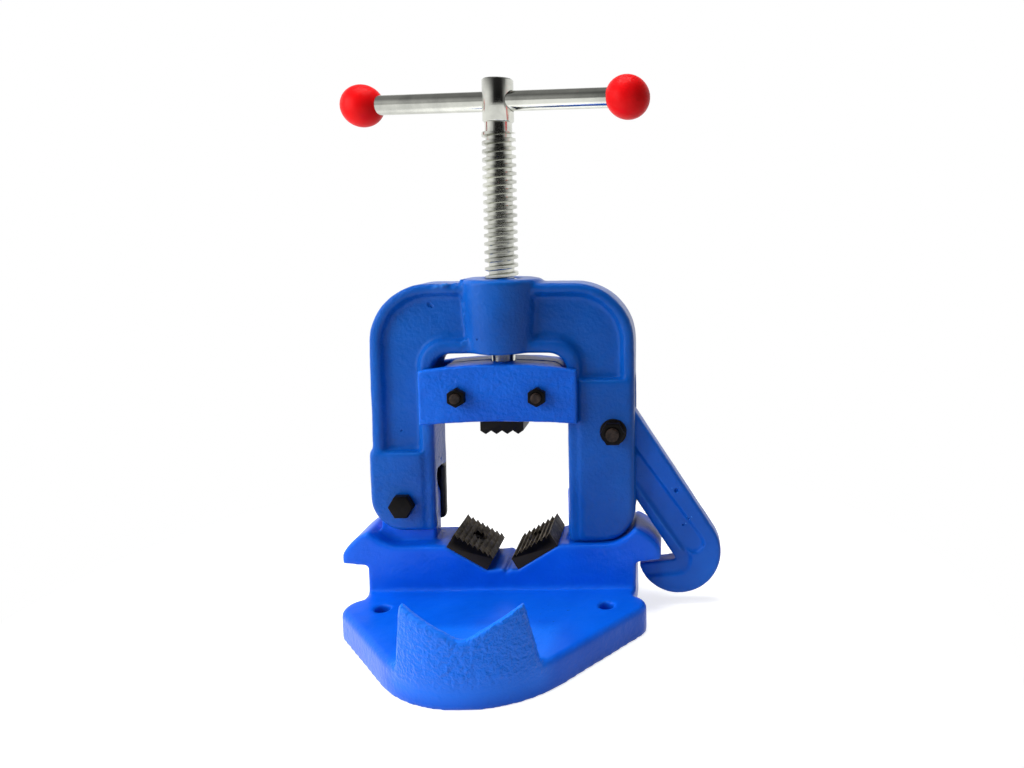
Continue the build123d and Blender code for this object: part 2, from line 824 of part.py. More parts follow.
# Upper jaw
jaw_bottom = crosshead_bottom - jaw_show
jaw_pitch = 2 * jaw_half / jaw_tooth_count
with BuildPart() as upper_jaw:
    with BuildSketch(Plane.XY.offset(jaw_bottom)):
        Rectangle(2 * jaw_half, jaw_depth)
    extrude(amount=jaw_top - jaw_bottom)
    with BuildSketch(Plane.YZ):
        for side in (-1, 1):
            with Locations((side * jaw_depth / 2, (waist_low + waist_high) / 2)):
                Rectangle(2 * waist_in, waist_high - waist_low)
    extrude(amount=jaw_half + past, both=True, mode=Mode.SUBTRACT)
    with BuildSketch(front):
        for tooth in range(jaw_tooth_count + 1):
            root = -jaw_half + tooth * jaw_pitch
            with BuildLine():
                Polyline(
                    (root - jaw_pitch / 2, jaw_bottom),
                    (root, jaw_bottom + jaw_tooth_h),
                    (root + jaw_pitch / 2, jaw_bottom),
                    close=True,
                )
            make_face()
    extrude(amount=jaw_depth, both=True, mode=Mode.SUBTRACT)
upper_jaw.part.label = "upper_jaw"
export_step(upper_jaw.part, "parts/upper_jaw.step")
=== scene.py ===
import json
import math

import bmesh
import bpy
from mathutils import Matrix, Vector, noise


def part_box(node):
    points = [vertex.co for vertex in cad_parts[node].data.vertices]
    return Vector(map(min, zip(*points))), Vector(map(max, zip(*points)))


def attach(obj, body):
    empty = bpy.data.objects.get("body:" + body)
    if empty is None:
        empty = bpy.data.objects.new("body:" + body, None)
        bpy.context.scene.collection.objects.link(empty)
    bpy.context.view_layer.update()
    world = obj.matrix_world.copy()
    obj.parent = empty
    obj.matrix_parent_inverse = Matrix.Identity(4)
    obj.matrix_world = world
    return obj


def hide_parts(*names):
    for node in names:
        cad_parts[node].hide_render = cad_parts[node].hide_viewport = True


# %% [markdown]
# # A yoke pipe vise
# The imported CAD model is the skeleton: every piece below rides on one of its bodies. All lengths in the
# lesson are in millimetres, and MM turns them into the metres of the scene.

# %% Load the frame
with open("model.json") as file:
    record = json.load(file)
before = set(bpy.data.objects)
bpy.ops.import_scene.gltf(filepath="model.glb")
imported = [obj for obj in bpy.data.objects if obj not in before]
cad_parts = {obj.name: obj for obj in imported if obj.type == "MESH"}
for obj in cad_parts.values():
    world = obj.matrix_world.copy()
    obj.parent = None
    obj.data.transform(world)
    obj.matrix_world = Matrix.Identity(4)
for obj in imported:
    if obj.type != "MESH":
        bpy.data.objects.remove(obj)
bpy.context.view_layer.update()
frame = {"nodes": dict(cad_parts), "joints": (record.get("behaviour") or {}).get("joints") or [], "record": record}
nodes = frame["nodes"]
body_of = {}
for body, members in frame["record"]["behaviour"]["bodies"].items():
    for member in members:
        body_of[member] = body
slot_of = {row["node"]: row["material_slot"] for row in frame["record"]["subparts"]}
MM = 0.001

# %% [markdown]
# ## Finishes
# The castings wear a thick, glossy blue paint straight over sand-cast iron, so the sand's grain shows
# through it. The screw and its bar are bright zinc, the fasteners and jaws are blacked steel, and the
# ball ends are red plastic. Each finish is one Principled shader. Noise on object coordinates gives what
# the eye reads as its surface, so it stays with the piece when a joint moves.

# %% Colour and shader helpers


def srgb(red, green, blue):
    """Turn a colour as seen on a screen, 0 to 255, into the linear values that a shader takes."""
    def straight(value):
        value /= 255
        return value / 12.92 if value <= 0.04045 else ((value + 0.055) / 1.055) ** 2.4
    return (straight(red), straight(green), straight(blue), 1.0)


def new_material(name, colour, roughness, metallic=0.0, shine=0.5):
    """Make a Principled material and return it with its node tree and shader."""
    material = bpy.data.materials.new(name)
    material.use_nodes = True
    tree = material.node_tree
    shader = tree.nodes["Principled BSDF"]
    shader.inputs["Base Color"].default_value = colour
    shader.inputs["Roughness"].default_value = roughness
    shader.inputs["Metallic"].default_value = metallic
    shader.inputs["Specular IOR Level"].default_value = shine
    return material, tree, shader


def noise_field(tree, scale, detail, roughness=0.5, stretch=(1, 1, 1)):
    """Add a noise texture fixed to the piece by its object coordinates, and return its value."""
    where = tree.nodes.new("ShaderNodeTexCoord")
    mapping = tree.nodes.new("ShaderNodeMapping")
    mapping.inputs["Scale"].default_value = stretch
    texture = tree.nodes.new("ShaderNodeTexNoise")
    texture.inputs["Scale"].default_value = scale
    texture.inputs["Detail"].default_value = detail
    texture.inputs["Roughness"].default_value = roughness
    tree.links.new(where.outputs["Object"], mapping.inputs["Vector"])
    tree.links.new(mapping.outputs["Vector"], texture.inputs["Vector"])
    return texture.outputs["Fac"]


def ramp(tree, value, *stops):
    """Turn a value into a colour by stops of (position, colour)."""
    node = tree.nodes.new("ShaderNodeValToRGB")
    elements = node.color_ramp.elements
    while len(elements) < len(stops):
        elements.new(0.5)
    for element, (position, colour) in zip(elements, stops):
        element.position = position
        element.color = colour
    tree.links.new(value, node.inputs["Fac"])
    return node.outputs["Color"]


def blend(tree, amount, first, second):
    """Mix two colours, each a socket or a fixed colour, by an amount from 0 to 1."""
    node = tree.nodes.new("ShaderNodeMix")
    node.data_type = "RGBA"
    tree.links.new(amount, node.inputs["Factor"])
    for socket, colour in ((node.inputs[6], first), (node.inputs[7], second)):
        if isinstance(colour, tuple):
            socket.default_value = colour
        else:
            tree.links.new(colour, socket)
    return node.outputs[2]


def bump(tree, shader, height, depth, strength=1.0, under=None):
    """Raise the surface by a height value, on top of another bump if one is given."""
    node = tree.nodes.new("ShaderNodeBump")
    node.inputs["Strength"].default_value = strength
    node.inputs["Distance"].default_value = depth
    tree.links.new(height, node.inputs["Height"])
    if under:
        tree.links.new(under.outputs["Normal"], node.inputs["Normal"])
    tree.links.new(node.outputs["Normal"], shader.inputs["Normal"])
    return node


def remap(tree, value, low, high):
    """Turn the range from low to high into 0 to 1, and hold what lies outside."""
    node = tree.nodes.new("ShaderNodeMapRange")
    node.inputs["From Min"].default_value = low
    node.inputs["From Max"].default_value = high
    tree.links.new(value, node.inputs["Value"])
    return node.outputs["Result"]


def multiply(tree, first, second):
    """Multiply a value by another value or by a fixed number."""
    node = tree.nodes.new("ShaderNodeMath")
    node.operation = "MULTIPLY"
    tree.links.new(first, node.inputs[0])
    if isinstance(second, float):
        node.inputs[1].default_value = second
    else:
        tree.links.new(second, node.inputs[1])
    return node.outputs["Value"]


def object_place(tree):
    """Return the x, y and z sockets of the point on the piece, in metres."""
    where = tree.nodes.new("ShaderNodeTexCoord")
    split = tree.nodes.new("ShaderNodeSeparateXYZ")
    tree.links.new(where.outputs["Object"], split.inputs["Vector"])
    return split.outputs


def box_mask(tree, low, high, soft):
    """Give 1 inside a box of object coordinates in millimetres, with a soft border."""
    mask = None
    for axis, value in enumerate(object_place(tree)):
        for edge, side in ((low[axis], soft / 2), (high[axis], -soft / 2)):
            step = remap(tree, value, (edge - side) * MM, (edge + side) * MM)
            mask = multiply(tree, mask, step) if mask else step
    return mask


def facing_up(tree, low, high):
    """Give 1 on faces that look up, from the upward part of the surface normal."""
    geometry = tree.nodes.new("ShaderNodeNewGeometry")
    split = tree.nodes.new("ShaderNodeSeparateXYZ")
    tree.links.new(geometry.outputs["Normal"], split.inputs["Vector"])
    return remap(tree, split.outputs["Z"], low, high)


def pointiness_mask(tree, low, high):
    """Give 1 on convex edges, or in hollows where low is the larger number, from the pointiness."""
    geometry = tree.nodes.new("ShaderNodeNewGeometry")
    return remap(tree, geometry.outputs["Pointiness"], low, high)


# %% [markdown]
# ### Cast paint
# Paint over a sand casting is smooth at arm's length and pebbled up close. Four layers of bump do that:
# a fine grain, the cells and the wrinkles of the sand, and a slow orange peel. The colour drifts a
# little. The outer edges are lighter, partly as worn thin paint and partly as a painted highlight, and
# the hollows are darker as painted shade.

# %% Blue paint on the castings
# Light blue for the convex edges: worn thin paint and a painted highlight
WORN_EDGE_HIGHLIGHT = srgb(70, 150, 240)
# Dark blue painted shade for the hollows
HOLLOW_SHADE = srgb(1, 26, 96)
# Each layer: noise scale, detail and roughness, height in mm, strength
FINE_GRAIN = (1500, 3, 0.6, 0.12, 0.5)
SAND_CELLS = (480, 2, 0.5, 1.5, 0.9)
SAND_WRINKLES = (230, 3, 0.5, 1.4, 0.6)
ORANGE_PEEL = (70, 2, 0.5, 1.6, 0.3)


def cast_paint(name, deep, plain, light, pebble, roughness):
    """Glossy paint over sand-cast iron. The pebble is a number, or makes a mask in the node tree."""
    material, tree, shader = new_material(name, plain, roughness, shine=0.22)
    drift = ramp(tree, noise_field(tree, 24, 3), (0.3, deep), (0.5, plain), (0.72, light))
    # The convex edges are painted lighter, partly as worn thin paint and partly as a painted highlight
    edge = multiply(tree, pointiness_mask(tree, 0.52, 0.64), 0.8)
    colour = blend(tree, edge, drift, WORN_EDGE_HIGHLIGHT)
    # The hollows are painted darker, as painted shade
    hollow_shade = multiply(tree, pointiness_mask(tree, 0.46, 0.36), 0.85)
    colour = blend(tree, hollow_shade, colour, HOLLOW_SHADE)
    tree.links.new(colour, shader.inputs["Base Color"])
    amount = pebble(tree) if callable(pebble) else float(pebble)
    skin = None
    for layer in (FINE_GRAIN, SAND_CELLS, SAND_WRINKLES, ORANGE_PEEL):
        scale, detail, rough, height, strength = layer
        field = noise_field(tree, scale, detail, rough)
        if layer in (SAND_CELLS, SAND_WRINKLES):
            field = multiply(tree, field, amount)
        skin = bump(tree, shader, field, height * MM, strength, skin)
    return material, tree, shader, colour


def base_pebble(tree):
    """Give more pebble on the front of the pipe rest than elsewhere, and hardly any on the plate."""
    rest = box_mask(tree, (-40, -125, 13), (40, -62, 60), 8.0)
    least, on_flats = -0.22, 1.15
    amount = remap(tree, rest, least, 1.0)
    steep = remap(tree, facing_up(tree, 0.8, 0.95), on_flats, 0.0)
    return multiply(tree, amount, steep)


base_paint, tree, shader, colour = cast_paint("painted_base", srgb(2, 84, 208), srgb(4, 92, 220),
                                              srgb(10, 100, 230), base_pebble, 0.32)
# The rest's front and the plate just before it are painted paler as painted light, and a few dark specks lie on
# the plate
painted_light_on_rest = multiply(tree, box_mask(tree, (-40, -125, 4), (40, -62, 60), 8.0), 0.6)
colour = blend(tree, painted_light_on_rest, colour, srgb(20, 122, 250))
specks = multiply(tree, box_mask(tree, (20, -66, 14), (46, -40, 18), 6.0),
                  remap(tree, noise_field(tree, 480, 2), 0.66, 0.72))
colour = blend(tree, specks, colour, srgb(2, 44, 130))
tree.links.new(colour, shader.inputs["Base Color"])

plate_paint = cast_paint("painted_crosshead", srgb(4, 80, 190), srgb(8, 90, 204), srgb(16, 102, 218),
                         0.42, 0.34)[0]
hook_paint = cast_paint("painted_hook", srgb(4, 82, 184), srgb(8, 90, 198), srgb(14, 100, 212),
                        0.15, 0.32)[0]

# The yoke's blue is darker than the base's, as painted shade on its front faces and webs
yoke_paint, tree, shader, colour = cast_paint("painted_yoke", srgb(3, 72, 158), srgb(5, 80, 170),
                                              srgb(10, 90, 184), 0.25, 0.3)
# The inside of the left fork is painted near black as painted shade
fork_shade = box_mask(tree, (-50, -7.3, 40), (-38, 16, 88), 0.6)
colour = blend(tree, fork_shade, colour, srgb(3, 5, 16))
tree.links.new(colour, shader.inputs["Base Color"])

# %% [markdown]
# ### Blacked steel, bright zinc and plastic
# Oil-blacked steel is dark with a brown cast and rubs bare on its edges. Zinc is bright but not mirror
# smooth, and turned metal keeps fine rings across its axis, so its noise is squeezed along Z. The plastic
# balls are plain red with a soft gloss and the faint waviness of a moulding.

# %% Steel and plastic
black_steel, tree, shader = new_material("black_steel", srgb(10, 9, 9), 0.38, shine=0.1)
drift = ramp(tree, noise_field(tree, 170, 5, 0.6), (0.35, srgb(5, 5, 6)), (0.65, srgb(16, 13, 12)))
colour = blend(tree, multiply(tree, pointiness_mask(tree, 0.53, 0.66), 0.6), drift, srgb(54, 48, 42))
tree.links.new(colour, shader.inputs["Base Color"])
bump(tree, shader, noise_field(tree, 1100, 4), 0.12 * MM, 0.4)

# A stud's cut end has lost its black and gone brown
stud_steel, tree, shader = new_material("stud_steel", srgb(42, 34, 30), 0.45, shine=0.2)
drift = ramp(tree, noise_field(tree, 420, 4, 0.6), (0.35, srgb(22, 18, 17)), (0.65, srgb(60, 48, 42)))
tree.links.new(drift, shader.inputs["Base Color"])
bump(tree, shader, noise_field(tree, 1300, 4), 0.15 * MM, 0.5)

# The jaws are black on their sides, while what looks up is a brown grey, partly wear and partly painted light from
# above, palest on the crests
jaw_steel, tree, shader = new_material("jaw_steel", srgb(8, 7, 7), 0.55, shine=0.06)
dark = ramp(tree, noise_field(tree, 170, 5, 0.6), (0.35, srgb(4, 4, 5)), (0.65, srgb(11, 9, 9)))
lit_worn_top = ramp(tree, noise_field(tree, 240, 6, 0.65), (0.32, srgb(48, 42, 36)), (0.5, srgb(88, 80, 68)),
            (0.7, srgb(132, 122, 106)))
# Faces that look up get the brown grey: wear and painted light from above
colour = blend(tree, facing_up(tree, 0.25, 0.5), dark, lit_worn_top)
colour = blend(tree, multiply(tree, pointiness_mask(tree, 0.54, 0.68), 0.6), colour, srgb(124, 114, 98))
tree.links.new(colour, shader.inputs["Base Color"])
bump(tree, shader, noise_field(tree, 800, 5), 0.2 * MM, 0.6)

bright_steel, tree, shader = new_material("bright_steel", srgb(206, 207, 198), 0.17, metallic=1.0)
drift = ramp(tree, noise_field(tree, 60, 4), (0.35, srgb(190, 191, 184)), (0.65, srgb(224, 225, 216)))
tree.links.new(drift, shader.inputs["Base Color"])
rings = bump(tree, shader, noise_field(tree, 500, 2, 0.5, (0.1, 0.1, 4)), 0.05 * MM, 0.35)
bump(tree, shader, noise_field(tree, 220, 3), 0.1 * MM, 0.2, rings)

red_plastic, tree, shader = new_material("red_plastic", srgb(214, 9, 12), 0.38, shine=0.12)
drift = ramp(tree, noise_field(tree, 45, 2), (0.35, srgb(216, 8, 12)), (0.65, srgb(234, 14, 20)))
tree.links.new(drift, shader.inputs["Base Color"])
bump(tree, shader, noise_field(tree, 110, 2), 0.2 * MM, 0.2)

# %% [markdown]
# The CAD nodes carry five slots. Each slot gets the finish that most of its nodes wear, and the pieces
# made further down ask for another one where they differ.

# %% Finishes on the CAD nodes
finish_of_slot = {
    "blue_paint": base_paint,
    "plate_paint": plate_paint,
    "black_steel": black_steel,
    "bright_steel": bright_steel,
    "red_plastic": red_plastic,
}
for name, node in nodes.items():
    node.data.materials.clear()
    node.data.materials.append(finish_of_slot[slot_of[name]])
print("finishes:", ", ".join(finish_of_slot), "on", len(nodes), "CAD nodes")

# %% [markdown]
# ## Making pieces
# Every piece is made as a bmesh at its place in the vise, then put in an object at the origin. It rides
# on the body of the CAD node that it stands for, and takes that node's finish.

# %% Helpers that finish a piece


def shade(mesh, angle):
    """Shade smooth, but keep edges sharper than an angle in degrees."""
    mesh.polygons.foreach_set("use_smooth", [True] * len(mesh.polygons))
    mesh.set_sharp_from_angle(angle=math.radians(angle))


def place_piece(shape, name, node, angle, finish=None):
    """Turn a bmesh into a piece that rides where a CAD node rides, and hide that node."""
    mesh = bpy.data.meshes.new(name)
    shape.to_mesh(mesh)
    shape.free()
    shade(mesh, angle)
    mesh.materials.append(finish or finish_of_slot[slot_of[node]])
    piece = bpy.data.objects.new(name, mesh)
    bpy.context.scene.collection.objects.link(piece)
    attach(piece, body_of[node])
    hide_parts(node)
    mesh.calc_loop_triangles()
    print(name, "rides on", body_of[node], "with", len(mesh.loop_triangles), "triangles")


def merged_copy(node):
    """Copy a CAD node's mesh into a bmesh and merge its loose triangles."""
    shape = bmesh.new()
    shape.from_mesh(nodes[node].data)
    bmesh.ops.remove_doubles(shape, verts=shape.verts, dist=0.001 * MM)
    return shape


def box_of(node):
    """Give a node's lowest and highest corners as vectors, in metres."""
    return [Vector(corner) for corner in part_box(node)]


def join_shapes(first, second):
    """Add a second bmesh to the first and free it."""
    mesh = bpy.data.meshes.new("joined")
    second.to_mesh(mesh)
    second.free()
    first.from_mesh(mesh)
    bpy.data.meshes.remove(mesh)
    return first


# %% [markdown]
# ## Castings
# Sand casting leaves no sharp edge anywhere: every corner of the base, the yoke and the hook is rounded,
# surfaces wander by a few tenths of a millimetre, and the two mould halves leave a faint line. The CAD
# solids have the right shape but hard edges. So each is copied, remeshed into small even squares, relaxed
# by a few rounds of smoothing, which melts the edges, and then pushed in and out by slow noise.

# %% Cast one piece


def relax(shape, verts):
    """Move points half way to the middle of their neighbours."""
    bmesh.ops.smooth_vert(shape, verts=verts, factor=0.5, use_axis_x=True, use_axis_y=True,
                          use_axis_z=True)


def cast_copy(node, voxel, rounds, wander, seed, added=None):
    """Remesh a copy of a CAD node, soften its edges and give it the unevenness of a casting."""
    shape = merged_copy(node)
    if added:
        shape = join_shapes(shape, added)
    rough = bpy.data.meshes.new("rough_" + node)
    shape.to_mesh(rough)
    shape.free()
    carrier = bpy.data.objects.new("rough_" + node, rough)
    bpy.context.scene.collection.objects.link(carrier)
    remesh = carrier.modifiers.new("even_squares", "REMESH")
    remesh.mode = "VOXEL"
    remesh.voxel_size = voxel * MM
    graph = bpy.context.evaluated_depsgraph_get()
    even = bpy.data.meshes.new_from_object(carrier.evaluated_get(graph))
    bpy.data.objects.remove(carrier)
    bpy.data.meshes.remove(rough)
    shape = bmesh.new()
    shape.from_mesh(even)
    bpy.data.meshes.remove(even)
    for _ in range(rounds):
        relax(shape, shape.verts)
    # The grid leaves its steps along the corners, so they get a few rounds more
    for _ in range(rounds):
        shape.normal_update()
        corners = {vert for edge in shape.edges if edge.calc_face_angle(0) > math.radians(10)
                   for vert in edge.verts}
        relax(shape, list(corners))
    shape.normal_update()
    offset = Vector((seed, -seed, 0.5 * seed))
    slow_size, quick_size = 14 * MM, 4 * MM
    for vert in shape.verts:
        slow = noise.noise(vert.co / slow_size + offset)
        quick = noise.noise(vert.co / quick_size - offset)
        vert.co += vert.normal * wander * MM * (slow + 0.35 * quick)
    shape.normal_update()
    return shape


# %% [markdown]
# Castings also carry small accidents, and they make this vise this one: pits where the sand left a
# hole, and a ragged seam where flash was broken off. A pit needs a finer mesh, so the edges round it are
# subdivided first, and then its points are pushed in along the surface normal. The hook has one long
# ridge on its front as well, steep on one side and gentle on the other.

# %% Pits, ragged seams and the ridge


def pit(shape, place, radius, depth, cuts=2):
    """Sink a round pit into a casting, on a locally finer mesh."""
    target = Vector(place) * MM
    nearest = min(shape.verts, key=lambda vert: (vert.co - target).length_squared)
    centre, inward = nearest.co.copy(), -nearest.normal
    reach = radius * MM
    edges = [edge for edge in shape.edges if (edge.verts[0].co - centre).length < 1.5 * reach + MM]
    bmesh.ops.subdivide_edges(shape, edges=edges, cuts=cuts, use_grid_fill=True)
    for vert in shape.verts:
        away = (vert.co - centre).length / reach
        if away < 1:
            vert.co += inward * depth * MM * (1 - away ** 2)
    shape.normal_update()


def ragged_line(shape, start, end, radius, height, size, seed):
    """Raise a broken, lumpy ridge along a line on a casting."""
    first, last = Vector(start) * MM, Vector(end) * MM
    along = last - first
    for vert in shape.verts:
        share = max(0.0, min(1.0, (vert.co - first).dot(along) / along.length_squared))
        away = (vert.co - first - along * share).length / (radius * MM)
        if away < 1:
            lump = noise.noise(vert.co / (size * MM) + Vector((seed, seed, seed)))
            vert.co += vert.normal * height * MM * (0.3 + 1.4 * lump) * (1 - away ** 2)


def raise_ridge(shape, start, end, height, steep, gentle, fade_in=12, fade_out=6):
    """Raise a ridge on the front of the hook, steep to the right of a line and gentle to its left."""
    first, last = (Vector((x, 0, z)) * MM for x, z in (start, end))
    along = (last - first).normalized()
    across = Vector((-along.z, 0, along.x))
    for vert in shape.verts:
        if vert.normal.y < -0.6:
            from_start = vert.co - first
            side = from_start.dot(across) / MM
            past_end = max(0.0, from_start.dot(along) - (last - first).length) / MM
            before = max(0.0, -from_start.dot(along)) / MM
            if side > 0:
                rise = math.exp(-(side / steep) ** 2)
            else:
                rise = max(0.0, 1 + side / gentle)
            fade = max(0.0, 1 - past_end / fade_out) * max(0.0, 1 - before / fade_in)
            vert.co.y -= height * MM * rise * fade
    shape.normal_update()


# %% [markdown]
# The base has a low land between its two toothed inserts, with a nick in its front edge. It is a short
# bar, drawn as one outline in front of the V and extruded to the back, and the remesh melts it into the
# base as if they had been cast together.

# %% The base
land_front, land_back = -17.4, 17.4
land_outline = ((-10.5, 24.5), (-8.4, 28.6), (0.8, 29.2), (1.6, 26.2), (3.2, 26.2), (3.8, 29.0), (8.4, 28.6),
                (10.5, 24.5))
land = bmesh.new()
land_face = land.faces.new([land.verts.new((x * MM, land_front * MM, z * MM))
                            for x, z in land_outline])
push = bmesh.ops.extrude_face_region(land, geom=[land_face])
moved = [item for item in push["geom"] if isinstance(item, bmesh.types.BMVert)]
bmesh.ops.translate(land, verts=moved, vec=(0, (land_back - land_front) * MM, 0))
bmesh.ops.recalc_face_normals(land, faces=land.faces)
base = cast_copy("base", 1.0, 2, 0.1, 1.7, land)
# A faint seam runs along the foot of the cross wall
ragged_line(base, (-60, -18, 17), (60, -18, 17), 2.2, 0.2, 2.4, 9.0)
# The underside is ground flat, so the grain of the casting stops there and at the plate's front end
lowest = box_of("base")[0]
for vert in base.verts:
    vert.co.y = max(vert.co.y, lowest.y)
    vert.co.z = max(vert.co.z, lowest.z)
place_piece(base, "base_casting", "base", 180)

# %% [markdown]
# The yoke's web lies back between its rims. Flash was broken off along the left side of the boss and
# on the rim beside it, and the lumps that it left still show. The pits lie on the left web, on the
# boss and on the inner side of the left leg.

# %% The yoke
yoke = cast_copy("yoke", 1.05, 4, 0.2, 5.3)
yoke_seams = (
    # start, end, radius, height, lump size, seed
    ((-21.2, -10, 203.5), (-19.9, -13.5, 166), 2.4, 1.3, 2.4, 2.0),
    ((-22, -13, 203), (-37, -14, 199.5), 2.2, 1.1, 2.4, 6.0),
)
for seam in yoke_seams:
    ragged_line(yoke, *seam)
yoke_pits = (
    # place, radius, depth
    ((-41.7, -9, 189.7), 1.7, 1.0),
    ((-40.2, -9, 188.6), 1.2, 0.8),
    ((-60.8, -9, 113.3), 0.8, 0.9),
    ((-11.4, -18.9, 169.2), 0.8, 0.9),
    ((-40, 0.1, 93.1), 0.9, 0.6),
    ((-40, -4, 95.5), 0.7, 0.6),
)
for dent in yoke_pits:
    pit(yoke, *dent)
place_piece(yoke, "yoke_casting", "yoke", 180, yoke_paint)

# %% [markdown]
# The hook is slimmer than the other castings, so its squares are smaller. Its ridge runs down the shank
# to the bend, and four pits lie beside it, one of them deep enough to need a third cut of the mesh.

# %% The hook
hook = cast_copy("latch", 0.7, 3, 0.15, 8.9)
raise_ridge(hook, (80.5, 76.2), (107.5, 36.3), 2.2, 1.2, 9.0)
hook_pits = (
    # place, radius, depth, cuts
    ((105.1, -6.5, 72.8), 1.5, 1.6, 3),
    ((113.1, -6.5, 55.0), 0.9, 1.0, 2),
    ((109.4, -4.9, 50.6), 0.8, 0.9, 2),
    ((121.7, -6.5, 37.7), 0.7, 0.8, 2),
)
for dent in hook_pits:
    pit(hook, *dent)
place_piece(hook, "hook_casting", "latch", 180, hook_paint)

# %% [markdown]
# The crosshead's two halves are plain plates with an arched top, cast in the same sand. They differ only
# in the seed of their unevenness, so that they don't look stamped from one mesh.

# %% The two halves of the crosshead
for node, seed in (("crosshead_front", 3.1), ("crosshead_rear", 6.6)):
    place_piece(cast_copy(node, 0.75, 2, 0.25, seed), node + "_casting", node, 180)

# %% [markdown]
# ## Screw
# The screw is turned from one bar: a drilled head, a thread of 20 mm with a flat, square-shouldered form,
# and a plain neck below the boss. A spin that also moves along Z turns one tooth's outline into the whole
# helix. The CAD screw is plain there, so its head and neck are kept and only the middle is exchanged.

# %% Thread helper


def thread(lowest, highest, pitch, crest_r, root_r, steps, centre=(0, 0)):
    """Make a threaded rod along Z by spinning one tooth's outline along a helix, cut flat at both ends."""
    shape = bmesh.new()
    x, y = centre
    outline = ((root_r, 0.0), (root_r, 0.34), (crest_r, 0.5), (crest_r, 0.84), (root_r, 1.0))
    start = lowest - 2 * pitch
    turns = math.ceil((highest - lowest) / pitch) + 4
    verts = [shape.verts.new((x + r, y, start + part * pitch)) for r, part in outline]
    edges = [shape.edges.new(pair) for pair in zip(verts, verts[1:])]
    bmesh.ops.spin(shape, geom=verts + edges, cent=(x, y, 0), axis=(0, 0, 1), dvec=(0, 0, pitch / steps),
                   angle=2 * math.pi * turns, space=Matrix(), steps=steps * turns, use_merge=False,
                   use_normal_flip=False, use_duplicate=False)
    bmesh.ops.remove_doubles(shape, verts=shape.verts, dist=0.02 * pitch)
    for height, inner in ((lowest, True), (highest, False)):
        cut = bmesh.ops.bisect_plane(shape, geom=shape.verts[:] + shape.edges[:] + shape.faces[:],
                                     plane_co=(x, y, height), plane_no=(0, 0, 1), clear_inner=inner,
                                     clear_outer=not inner)
        rim = [item for item in cut["geom_cut"] if isinstance(item, bmesh.types.BMEdge)]
        bmesh.ops.edgenet_fill(shape, edges=rim)
    bmesh.ops.recalc_face_normals(shape, faces=shape.faces)
    return shape


# %% The screw
thread_low, thread_high, halfway = 164 * MM, 291.5 * MM, 200 * MM
screw = merged_copy("spindle")
for height, inner in ((thread_low, False), (thread_high, True)):
    keep = [face for face in screw.faces if (face.calc_center_median().z > halfway) == inner]
    geometry = keep + list({edge for face in keep for edge in face.edges})
    geometry += list({vert for face in keep for vert in face.verts})
    bmesh.ops.bisect_plane(screw, geom=geometry, plane_co=(0, 0, height), plane_no=(0, 0, 1),
                           clear_inner=inner, clear_outer=not inner)
screw_pitch, crest_r, root_r = 5 * MM, 10 * MM, 7.6 * MM
screw = join_shapes(screw, thread(thread_low, thread_high, screw_pitch, crest_r, root_r, 40))
place_piece(screw, "screw", "spindle", 32)

# %% [markdown]
# ## Ball ends
# Each ball is moulded in red plastic with a small flat where the bar enters. Half of its outline, spun
# once round the bar's axis, gives a clean sphere with enough steps to stay round in a close view.

# %% The two balls
handle = next(joint for joint in frame["joints"] if joint["name"] == "handle_slide")
bar_dir = Vector(handle["axis"]).normalized()
low, high = box_of("handle_balls")
ball_r, bar_r = (high.z - low.z) / 2, 6 * MM
middle = (low + high) / 2
reach = (high.x - low.x) / 2 - ball_r
flat = math.acos(bar_r / ball_r)
outline_steps = 28
balls = bmesh.new()
for side in (-1, 1):
    centre = middle + bar_dir * (side * reach / bar_dir.x)
    outward = side * bar_dir
    ring = []
    for step in range(outline_steps + 1):
        angle = -flat + (flat + math.pi / 2) * step / outline_steps
        along, out = math.sin(angle) * ball_r, math.cos(angle) * ball_r
        ring.append(balls.verts.new(centre + outward * along + Vector((0, 0, out))))
    edges = [balls.edges.new(pair) for pair in zip(ring, ring[1:])]
    bmesh.ops.spin(balls, geom=ring + edges, cent=centre, axis=outward, dvec=(0, 0, 0),
                   angle=2 * math.pi, space=Matrix(), steps=64, use_merge=True,
                   use_normal_flip=False, use_duplicate=False)
bmesh.ops.remove_doubles(balls, verts=balls.verts, dist=0.005 * MM)
bmesh.ops.recalc_face_normals(balls, faces=balls.faces)
place_piece(balls, "ball_ends", "handle_balls", 40)

# %% [markdown]
# ## Jaws and fasteners
# Forged and tumbled parts have no sharp corner, and the jaws' teeth have blunt crests. The CAD solids have
# the right faces, so a copy has its flat triangles joined again by a limited dissolve and then every
# edge bevelled by a few tenths of a millimetre. That narrow round is what catches the light.

# %% Copy with blunt edges


def blunt_copy(node, width, sharp_from=28.0):
    """Copy a CAD node, join its flat triangles and bevel its edges a little."""
    shape = merged_copy(node)
    bmesh.ops.dissolve_limit(shape, angle_limit=math.radians(1.5), verts=shape.verts, edges=shape.edges)
    sharp = [edge for edge in shape.edges if edge.calc_face_angle(0) > math.radians(sharp_from)]
    bmesh.ops.bevel(shape, geom=sharp, offset=width * MM, offset_type="OFFSET", segments=2, profile=0.5,
                    affect="EDGES", material=-1, clamp_overlap=True, loop_slide=True)
    return shape


# %% The three jaws
for node, name in (("lower_jaw_left", "left_toothed_insert"), ("lower_jaw_right", "right_toothed_insert")):
    place_piece(blunt_copy(node, 0.18), name, node, 25, jaw_steel)
place_piece(blunt_copy("upper_jaw", 0.25), "upper_toothed_jaw", "upper_jaw", 25)

# %% [markdown]
# The two M6 nuts on the crosshead stand on a corner, and the bolts' ends come out of them as threaded
# studs. The nut on the hook's pivot has a round flange. A stud is the thread helper's helix, turned to
# the front, in place of the plain end of the CAD bolt, and the flange is one outline spun round the pivot.

# %% Nuts and studs


